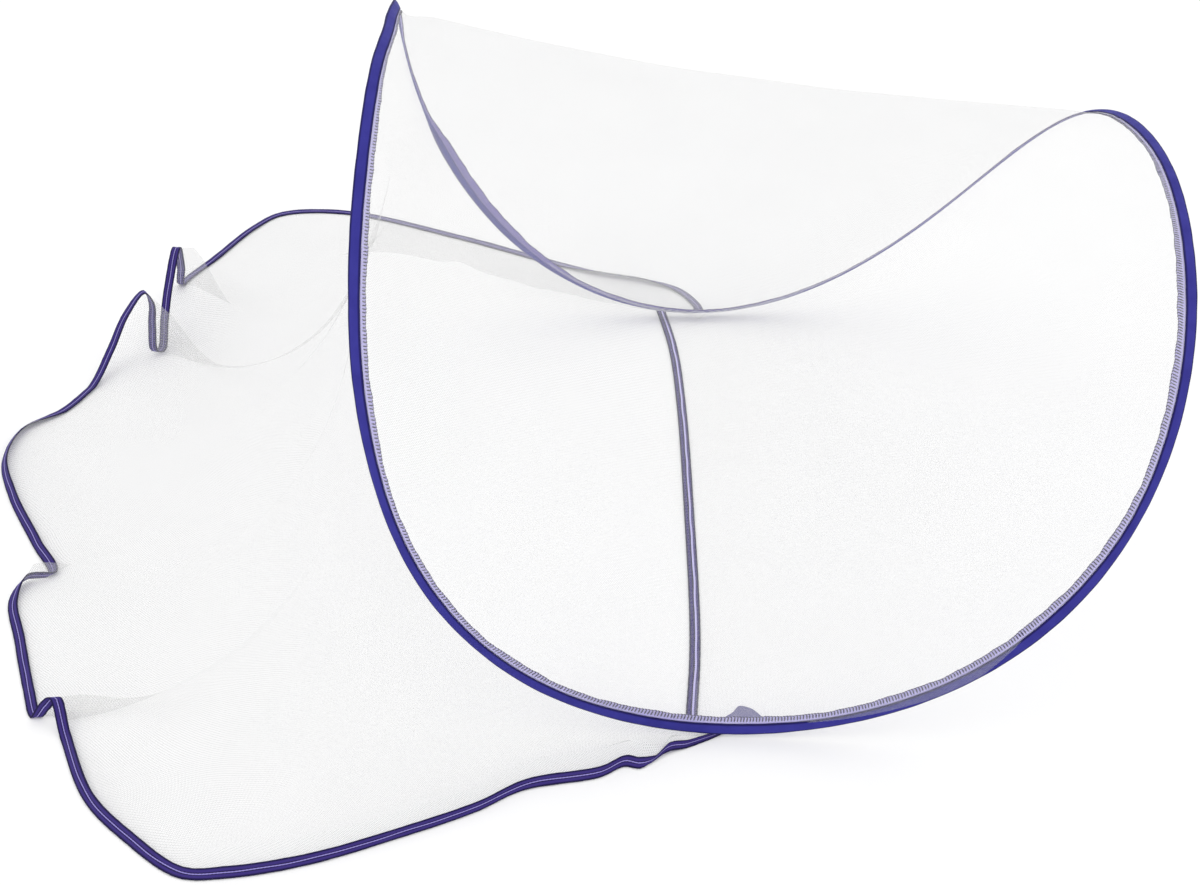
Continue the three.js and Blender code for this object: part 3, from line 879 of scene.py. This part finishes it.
end_line = smooth_line([[row["right"] * MM, row["back"] * MM, 0] for row in END_HEM], END_HEM_STEPS)
end_line = end_line + SHIFT
share = np.linspace(0, 1, END_COLUMNS)
foot = read_off(share, np.linspace(0, 1, len(end_line)), end_line)
foot[:, 0] += END_INSET
floor = NET_ON_FLOOR + END_LIFT * np.clip(1 - share / END_LIFT_SHARE, 0, 1)
foot[:, 2] = floor
top = beside_casing(on_right(share), 1.0 * MM, -0.9 * MM)
reach = top - foot
pull = top - END_PULL * reach
pull[:, 2] = floor + (1 - END_DROP) * (top[:, 2] - floor)
lie = foot + END_LIE * reach
lie[:, 2] = floor
points = bezier([foot, lie, pull, top], END_ROWS)
fall = np.linspace(0, 1, END_ROWS)[None, :]
hoop_run = share[:, None] * HOOP_LENGTH / 2
swell = np.sin(math.pi * fall) * np.sin(math.pi * share)[:, None]
points[..., 2] += END_SWELL * uneven(hoop_run, 260 * MM, 0.4) * swell
points[..., 2] += END_CREASE * uneven(hoop_run + 0.2 * fall, 71 * MM, 1.9) * swell
points[..., 2] = np.maximum(points[..., 2], floor[:, None])
uvs = (np.broadcast_to(hoop_run, points.shape[:2]), run_length(points, 1))
end_net = dress(grid("end_netting", points, uvs), end_cloth)
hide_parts("end_net")

# %% Tape section and stitches
TAPE_THICK = 1.3 * MM
TAPE_STITCH = 2.7 * MM
STITCH_LONG = 1.4 * TAPE_STITCH
STITCH_STRAY = 0.35 * MM

# Half of the tape's section: shares of its half width and half thickness, from its edge to the
# groove that the stitches pull into its middle.
TAPE_PROFILE = [
    (1.0, 0.0),
    (0.98, 0.6),
    (0.9, 0.92),
    (0.6, 1.0),
    (0.3, 0.9),
    (0.17, 0.4),
    (0.0, 0.25),
]


def tape_section(length):
    """Binding tape at points along it: across and height of each of its section's corners."""
    side, rise = np.array(TAPE_PROFILE).T
    side, rise = np.append(side, -side[-2::-1]), np.append(rise, rise[-2::-1])
    across = TAPE_HALF * np.append(side, side[-2:0:-1])
    half = TAPE_THICK / 2 * np.append(rise, -rise[-2:0:-1])
    section = np.zeros((len(length), len(across), 2))
    section[..., 0] = across * (1 + 0.03 * uneven(length, 9 * MM)[:, None])
    curl = 0.18 * MM * uneven(length, 6.5 * MM, 1.0)[:, None]
    section[..., 1] = half + curl * across / TAPE_HALF
    return section


def tape_stitches(name, middle, widthway, offset, width, lifts):
    """Rows of stitches along a tape, so far off its middle and out from its two faces."""
    length = run_length(middle, 0)
    count = int(length[-1] / TAPE_STITCH)
    at = (np.arange(count) + 0.5) * length[-1] / count
    centre = read_off(at, length, middle)
    ahead = read_off(at + 0.5 * MM, length, middle)
    across = unit(read_off(at, length, widthway))
    along = unit(ahead - centre + 1e-9)
    height = unit(np.cross(along, across))
    centre = centre + across * (offset + STITCH_STRAY * uneven(at, 60 * MM))[:, None]
    axes = np.stack([across * (width / MM), height * 0.7, along * STITCH_LONG], 1)
    return scattered(
        name,
        thread_bead(1.0 * MM),
        np.concatenate([centre + height * lift for lift in lifts]),
        np.concatenate([axes] * len(lifts)),
    )


# %% The straight hem's tape
tape_middle = end_line + UP * (TAPE_THICK / 2)
tape_widthway = unit(np.cross(np.gradient(end_line, axis=0), UP))
tape_length = run_length(tape_middle, 0)
end_tape = ribbon("end_tape", tape_middle, tape_widthway, tape_section(tape_length), tape_length)
dress(end_tape, hem_cloth)
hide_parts("end_hem_tape")
end_stitches = tape_stitches(
    "end_stitches", tape_middle, tape_widthway, 0.9 * MM, 2.3 * MM, [-0.65 * MM]
)
dress(end_stitches, strip_thread)
print("straight hem:", round(float(tape_length[-1]), 3), "m")

# %% [markdown]
# ## The skirt and its wavy hem
#
# The skirt falls from the left half of the hoop and runs out over the floor. Its hem is bound
# with tape, and stands in a few upright folds where there is more cloth than room. The table
# goes round it from the front low point. Rim is the share of the hoop's left half that the
# cloth hangs from, right, back and up place the middle of the tape, face is the heading of the
# tape's outer edge, in degrees, and lean is how far its inner edge is turned up, in degrees.

# %% The skirt's hem
HEM_COLUMNS = ("rim", "right", "back", "up", "face", "lean")
HEM_TUCK = (0.0, 104, -332, 0, 240, 0)
HEM = [
    (0.0, 97, -337, 0, 240, 0),
    (0.015, 71, -350, 0, 252, 5),
    (0.024, 56, -356, 2, 258, 12),
    (0.034, 42, -369, 0, 228, 20),
    (0.038, 32, -374, 0, 258, 40),
    (0.044, 20, -372, 0, 260, 42),
    (0.055, 0, -384, 0, 258, 38),
    (0.085, -59, -398, 0, 252, 38),
    (0.11, -96, -422, 0, 247, 38),
    (0.14, -153, -449, 0, 246, 38),
    (0.175, -220, -476, 0, 254, 38),
    (0.205, -280, -489, 0, 262, 38),
    (0.22, -314, -488, 0, 243, 20),
    (0.24, -361, -452, 0, 226, 20),
    (0.26, -400, -411, 0, 208, 30),
    (0.285, -434, -342, 0, 200, 20),
    (0.303, -445, -318, 21, 192, 0),
    (0.308, -455, -319, 10, 155, -30),
    (0.312, -464, -318, 0, 190, 0),
    (0.325, -477, -288, 0, 196, 10),
    (0.35, -501, -223, 0, 196, 10),
    (0.372, -520, -168, 0, 186, 22),
    (0.386, -514, -143, 2, 168, 60),
    (0.397, -494, -134, 1, 205, 15),
    (0.412, -519, -88, 0, 208, 25),
    (0.44, -560, -14, 0, 205, 35),
    (0.465, -582, 45, 0, 185, 50),
    (0.485, -577, 97, 0, 150, 40),
    (0.505, -545, 132, 0, 140, 5),
    (0.525, -526, 173, 0, 160, 10),
    (0.538, -511, 210, 22, 168, 10),
    (0.548, -495, 234, 52, 150, 10),
    (0.555, -476, 246, 72, 115, 5),
    (0.558, -470, 246, 60, 142, 0),
    (0.562, -472, 242, 34, 158, 0),
    (0.566, -472, 237, 6, 162, 0),
    (0.571, -466, 242, 4, 165, 0),
    (0.58, -464, 265, 28, 170, 0),
    (0.59, -463, 294, 48, 172, 0),
    (0.603, -457, 330, 78, 178, 0),
    (0.616, -462, 358, 38, 170, 0),
    (0.63, -470, 386, 0, 155, 5),
    (0.655, -442, 447, 0, 150, 5),
    (0.685, -408, 520, 0, 135, 5),
    (0.705, -380, 553, 0, 105, 0),
    (0.735, -307, 557, 0, 85, 0),
    (0.79, -164, 495, 0, 64, 0),
    (0.86, -46, 431, 0, 62, 0),
    (0.9, 2, 408, 0, 66, 35),
    (0.94, 48, 394, 0, 75, 35),
    (0.965, 86, 374, 0, 40, 5),
    (0.985, 106, 342, 0, 15, 0),
    (1.0, 109, 330, 0, 5, 0),
]
HEM_STEPS = 10


def hem_line(table, steps):
    """Rim, middle and widthway of the tape along the hem, smoothed between the rows."""
    rows = np.array(table, float)
    column = dict(zip(HEM_COLUMNS, rows.T))
    heading, tilt = np.radians(column["face"]), np.radians(column["lean"])
    flat = np.cos(tilt)
    widthway = np.stack([flat * np.cos(heading), flat * np.sin(heading), -np.sin(tilt)], 1)
    middle = smooth_line(rows[:, 1:4] * MM, steps)
    at = np.arange(len(middle)) / steps
    widthway = unit(read_off(at, range(len(rows)), widthway))
    rest = TAPE_HALF * np.abs(widthway[:, 2])
    rest += TAPE_THICK / 2 * np.hypot(widthway[:, 0], widthway[:, 1])
    middle[:, 2] = np.maximum(middle[:, 2], 0) + rest
    return np.interp(at, range(len(rows)), column["rim"]), middle + SHIFT, widthway


# %% Skirt net
SKIRT_ROWS = 44
SKIRT_FALL = 0.76
SKIRT_SPREAD = 0.03
SKIRT_RUN = 0.45
SKIRT_RIDGE = 40 * MM  # how far in from the hem an upright fold of it reaches
SKIRT_NECK = 14 * MM
SKIRT_INSET = 2.4 * MM  # the net is sewn in this far from the middle of its tape
SKIRT_UNDER = 2.0 * MM  # how far out under the casing the net's top edge lies at the low points
SKIRT_BELOW = 0.9 * MM  # how far below the casing's middle that edge lies at the ear
SKIRT_CREASE = 1.2 * MM

# Soft ridges run down the skirt: the rim's share where one starts and ends, its height in
# millimetres, and its breadth as a share of the rim.
SKIRT_RIDGES = [
    {"start": 0.16, "end": 0.22, "height": 7, "breadth": 0.012},
    {"start": 0.24, "end": 0.27, "height": 9, "breadth": 0.012},
    {"start": 0.3, "end": 0.31, "height": 8, "breadth": 0.01},
    {"start": 0.34, "end": 0.36, "height": 10, "breadth": 0.014},
    {"start": 0.41, "end": 0.4, "height": 11, "breadth": 0.012},
    {"start": 0.46, "end": 0.45, "height": 8, "breadth": 0.014},
    {"start": 0.54, "end": 0.55, "height": 4, "breadth": 0.02},
    {"start": 0.61, "end": 0.6, "height": 4, "breadth": 0.02},
    {"start": 0.7, "end": 0.68, "height": 8, "breadth": 0.014},
    {"start": 0.8, "end": 0.79, "height": 7, "breadth": 0.014},
]


def ridge_height(rim, fall):
    """How high the soft ridges lift the skirt."""
    total = np.zeros(np.broadcast_shapes(rim.shape, fall.shape))
    for row in SKIRT_RIDGES:
        offset = (rim - row["start"] - (row["end"] - row["start"]) * fall) / row["breadth"]
        total += row["height"] * MM * np.exp(-(offset**2))
    return total * np.sin(math.pi * fall) ** 1.5


rim, middle, widthway = hem_line(HEM, HEM_STEPS)
turned = math.pi / 2 * np.abs(2 * rim - 1) ** 2
top = beside_casing(on_left(rim), -SKIRT_UNDER * np.sin(turned), -SKIRT_BELOW * np.cos(turned))
foot = middle - widthway * SKIRT_INSET
reach = np.linalg.norm((foot - top)[:, :2], axis=1)
neck = foot - widthway * (SKIRT_INSET + np.minimum(SKIRT_NECK, reach / 3))[:, None]
neck[:, 2] = np.maximum(neck[:, 2], NET_ON_FLOOR)
out = (neck - top) * np.array([1, 1, 0])
fall_point = top + out * SKIRT_SPREAD
fall_point[:, 2] = (1 - SKIRT_FALL) * top[:, 2]
run_point = neck - out * SKIRT_RUN
run_point[:, 2] = 0
flat = neck * np.array([1, 1, 0])
points = bezier([top, fall_point, run_point, flat], SKIRT_ROWS)
away = np.linalg.norm((points - flat[:, None])[..., :2], axis=-1)
fall = np.linspace(0, 1, SKIRT_ROWS)[None, :]
points[..., 2] += neck[:, 2:] * np.exp(-((away / SKIRT_RIDGE) ** 2)) * fall**2
points[..., 2] += ridge_height(rim[:, None], fall)
run = rim[:, None] * LEFT_HALF[2]
swell = np.sin(math.pi * fall)
points[..., 2] += SKIRT_CREASE * uneven(run + 0.12 * fall, 64 * MM, 0.9) * swell
points[..., 2] = np.maximum(points[..., 2], NET_ON_FLOOR)
points = np.concatenate([points, ((neck + foot) / 2)[:, None], foot[:, None]], 1)
uvs = (np.broadcast_to(run, points.shape[:2]), run_length(points, 1))
skirt = dress(grid("skirt_netting", points, uvs), skirt_cloth)
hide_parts("skirt_net")
print("skirt net:", len(skirt.data.polygons), "faces")

# %% The skirt's hem tape
_, middle, widthway = hem_line([HEM_TUCK] + HEM, HEM_STEPS)
tape_length = run_length(middle, 0)
skirt_tape = ribbon("skirt_tape", middle, widthway, tape_section(tape_length), tape_length)
dress(skirt_tape, hem_cloth)
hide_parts("skirt_hem_tape")
skirt_stitches = tape_stitches(
    "skirt_stitches", middle, widthway, 0.0, 1.2 * MM, [0.3 * MM, -0.3 * MM]
)
dress(skirt_stitches, hem_thread)
print("wavy hem:", round(float(tape_length[-1]), 3), "m")

# %% The opened-out end of the skirt's tape
TAPE_END_THICK = 0.5 * MM
TAPE_END = [
    {"right": 103, "back": -324, "half": 6},
    {"right": 110, "back": -321, "half": 9},
    {"right": 115, "back": -317, "half": 12},
    {"right": 125, "back": -318, "half": 10},
    {"right": 129, "back": -320, "half": 8},
    {"right": 134, "back": -325, "half": 6},
]
rows = smooth_line([[row["right"], row["back"], row["half"]] for row in TAPE_END], 8) * MM
middle = np.stack([rows[:, 0], rows[:, 1], np.full(len(rows), TAPE_END_THICK)], 1) + SHIFT
widthway = np.broadcast_to([0.0, 1.0, 0.0], middle.shape)
corner = np.array([[1, 1], [0, 1], [-1, 1], [-1, -1], [0, -1], [1, -1]])
section = corner * np.stack([rows[:, 2], np.full(len(rows), TAPE_END_THICK / 2)], 1)[:, None]
tape_end = ribbon("tape_end", middle, widthway, section, run_length(middle, 0))
dress(tape_end, tape_lining)

# %% [markdown]


# %% [markdown]
# ## Floor, light and camera
#
# White netting on a white floor shows only if the light is soft and comes from all sides. The
# world gives most of it. A large lamp from the upper left shapes the folds, and a weaker one from
# the right fills them.

# %% Floor
FLOOR_SIZE = 14.0
FLOOR_BELOW = 0.2 * MM
select_only(roof)
bpy.ops.mesh.primitive_plane_add(size=FLOOR_SIZE, location=(0, 0, -FLOOR_BELOW))
floor_sheet = bpy.context.object
floor_sheet.name = "floor"
floor_finish = Finish("floor_paint", Roughness=0.9)
floor_finish.shader.inputs["Base Color"].default_value = (0.96, 0.96, 0.96, 1)
floor_finish.shader.inputs["Specular IOR Level"].default_value = 0.1
floor_sheet.data.materials.append(floor_finish.material)

# %% Light
scene = bpy.context.scene
scene.world = scene.world or bpy.data.worlds.new("studio")
scene.world.use_nodes = True
sky = scene.world.node_tree.nodes["Background"]
sky.inputs["Color"].default_value = (1.0, 1.0, 1.0, 1)
sky.inputs["Strength"].default_value = 1.05
scene.view_settings.view_transform = "Standard"


LAMP_AIM = Vector((0, 0, 0.15))


def soft_lamp(name, place, size, power):
    """A square area lamp at a place, aimed at the object."""
    bpy.ops.object.light_add(type="AREA", location=place)
    lamp = bpy.context.object
    lamp.name = name
    lamp.data.size = size
    lamp.data.energy = power
    lamp.rotation_euler = (LAMP_AIM - Vector(place)).to_track_quat("-Z", "Y").to_euler()


soft_lamp("key_lamp", (-1.6, -1.2, 2.4), 1.6, 6)
soft_lamp("fill_lamp", (1.9, -0.6, 1.8), 1.8, 2.5)

# %% Camera
VIEW_DOWN = math.radians(35)
VIEW_DISTANCE = 1.824
VIEW_AIM = np.array([0, 25.2, 35.9]) * MM + SHIFT
VIEW_LENS = 57.0
VIEW_SENSOR = 36.0
ahead = np.array([0, math.cos(VIEW_DOWN), -math.sin(VIEW_DOWN)])
bpy.ops.object.camera_add(
    location=VIEW_AIM - VIEW_DISTANCE * ahead,
    rotation=(math.pi / 2 - VIEW_DOWN, 0, 0),
)
camera = bpy.context.object
camera.data.lens = VIEW_LENS
camera.data.sensor_width = VIEW_SENSOR
camera.data.sensor_fit = "HORIZONTAL"
scene.camera = camera
